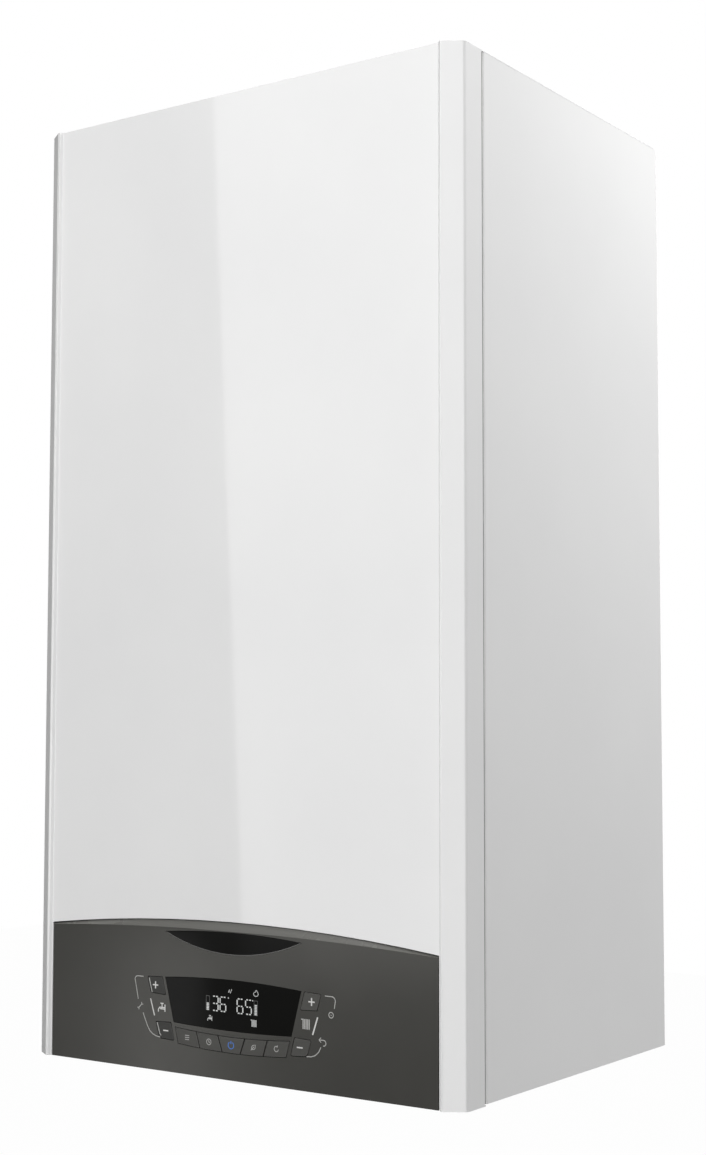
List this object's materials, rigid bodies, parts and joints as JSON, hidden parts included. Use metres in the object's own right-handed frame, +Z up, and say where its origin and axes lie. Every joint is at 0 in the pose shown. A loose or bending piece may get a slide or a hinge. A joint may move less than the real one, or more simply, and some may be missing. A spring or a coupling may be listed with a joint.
{
  "type": "condensing boiler",
  "caption": "Wall-hung condensing boiler: white sheet casing with slanted front corners, a dark tilting control panel with display and keys, flue collar on top and pipe ends below.",
  "frame": {"origin": "midway between the two hanging slots, on the back face against the wall", "axes": "+Z up, front towards -Y, wall towards +Y, +X to the right seen from the front"},
  "size_m": [0.4, 0.3183, 0.797],
  "materials": {
    "white_paint": "smooth white powder coat",
    "galvanised": "galvanised sheet",
    "fascia_plastic": "fine moulded grain",
    "gloss_black": "glossy",
    "box_plastic": "moulded",
    "circuit_board": "solder mask",
    "stainless": "satin stainless",
    "cast_aluminium": "as cast",
    "motor_black": "satin black",
    "black_plastic": "moulded",
    "flue_plastic": "smooth",
    "copper": "drawn tube",
    "brass": "turned",
    "vessel_red": "red enamel",
    "composite": "glass filled",
    "rubber": "soft",
    "porcelain": "glazed",
    "red_plastic": "moulded",
    "blue_plastic": "moulded"
  },
  "bodies": {
    "chassis": {"left_side_panel": "white_paint", "right_side_panel": "white_paint", "top_panel": "white_paint", "back_frame": "galvanised", "front_crossbar": "galvanised", "connection_rail": "galvanised", "hinge_brackets": "galvanised", "heat_exchanger_shell": "stainless", "burner_tube": "stainless", "plate_heat_exchanger": "stainless", "burner_door": "cast_aluminium", "fan_housing": "cast_aluminium", "mixture_duct": "cast_aluminium", "venturi": "cast_aluminium", "gas_valve": "cast_aluminium", "fan_motor": "motor_black", "pump_motor": "motor_black", "condensate_sump": "black_plastic", "air_silencer": "black_plastic", "diverter_motor": "black_plastic", "cable_gland": "black_plastic", "spark_generator": "black_plastic", "flue_pipe": "flue_plastic", "flue_adaptor": "flue_plastic", "flue_centre_tube": "flue_plastic", "condensate_trap": "flue_plastic", "flow_pipe": "copper", "return_pipe": "copper", "gas_pipe": "copper", "water_pipes": "copper", "safety_valve": "brass", "expansion_vessel": "vessel_red", "flow_block": "composite", "return_block": "composite", "cover_seal": "rubber", "condensate_hose": "rubber", "ignition_lead": "rubber", "electrodes": "porcelain"},
    "front_cover": {"front_cover": "white_paint"},
    "control_panel": {"panel_fascia": "fascia_plastic", "emblem_plate": "gloss_black", "display_window": "gloss_black", "display_board": "circuit_board", "control_box": "box_plastic", "control_box_cover": "box_plastic", "main_board": "circuit_board"},
    "fan_wheel": {"fan_impeller": "black_plastic"},
    "pump_wheel": {"pump_impeller": "black_plastic"},
    "diverter": {"diverter_spindle": "brass"},
    "relief_knob": {"safety_knob": "red_plastic"},
    "fill_knob": {"filling_knob": "blue_plastic"},
    "water_plus_key": {"water_plus_key": "fascia_plastic"},
    "water_minus_key": {"water_minus_key": "fascia_plastic"},
    "heating_plus_key": {"heating_plus_key": "fascia_plastic"},
    "heating_minus_key": {"heating_minus_key": "fascia_plastic"},
    "menu_key": {"menu_key": "fascia_plastic"},
    "clock_key": {"clock_key": "fascia_plastic"},
    "power_key": {"power_key": "fascia_plastic"},
    "eco_key": {"eco_key": "fascia_plastic"},
    "reset_key": {"reset_key": "fascia_plastic"}
  },
  "joints": [
    {"name": "cover_slide", "type": "slide", "parent": "chassis", "child": "front_cover", "axis": [0, -1, 0], "range_m": [0, 0.3]},
    {"name": "panel_tilt", "type": "hinge", "parent": "chassis", "child": "control_panel", "pos_m": [0, -0.288, -0.687], "axis": [1, 0, 0], "range_deg": [0, 85]},
    {"name": "fan_spin", "type": "hinge", "parent": "chassis", "child": "fan_wheel", "pos_m": [-0.055, -0.234, -0.372], "axis": [1, 0, 0], "continuous": true},
    {"name": "pump_spin", "type": "hinge", "parent": "chassis", "child": "pump_wheel", "pos_m": [0.132, -0.145, -0.552], "axis": [0, 1, 0], "continuous": true},
    {"name": "diverter_slide", "type": "slide", "parent": "chassis", "child": "diverter", "axis": [0, 1, 0], "range_m": [0, 0.006]},
    {"name": "relief_turn", "type": "hinge", "parent": "chassis", "child": "relief_knob", "pos_m": [0.132, -0.165, -0.624], "axis": [0, -1, 0], "range_deg": [0, 90]},
    {"name": "fill_turn", "type": "hinge", "parent": "chassis", "child": "fill_knob", "pos_m": [0.155, -0.062, -0.7], "axis": [0, 0, -1], "range_deg": [0, 90]},
    {"name": "water_plus_key_press", "type": "slide", "parent": "control_panel", "child": "water_plus_key", "axis": [0, 1, 0], "range_m": [0, 0.001], "stiffness_N_per_m": 300},
    {"name": "water_minus_key_press", "type": "slide", "parent": "control_panel", "child": "water_minus_key", "axis": [0, 1, 0], "range_m": [0, 0.001], "stiffness_N_per_m": 300},
    {"name": "heating_plus_key_press", "type": "slide", "parent": "control_panel", "child": "heating_plus_key", "axis": [0, 1, 0], "range_m": [0, 0.001], "stiffness_N_per_m": 300},
    {"name": "heating_minus_key_press", "type": "slide", "parent": "control_panel", "child": "heating_minus_key", "axis": [0, 1, 0], "range_m": [0, 0.001], "stiffness_N_per_m": 300},
    {"name": "menu_key_press", "type": "slide", "parent": "control_panel", "child": "menu_key", "axis": [0, 1, 0], "range_m": [0, 0.001], "stiffness_N_per_m": 300},
    {"name": "clock_key_press", "type": "slide", "parent": "control_panel", "child": "clock_key", "axis": [0, 1, 0], "range_m": [0, 0.001], "stiffness_N_per_m": 300},
    {"name": "power_key_press", "type": "slide", "parent": "control_panel", "child": "power_key", "axis": [0, 1, 0], "range_m": [0, 0.001], "stiffness_N_per_m": 300},
    {"name": "eco_key_press", "type": "slide", "parent": "control_panel", "child": "eco_key", "axis": [0, 1, 0], "range_m": [0, 0.001], "stiffness_N_per_m": 300},
    {"name": "reset_key_press", "type": "slide", "parent": "control_panel", "child": "reset_key", "axis": [0, 1, 0], "range_m": [0, 0.001], "stiffness_N_per_m": 300}
  ]
}
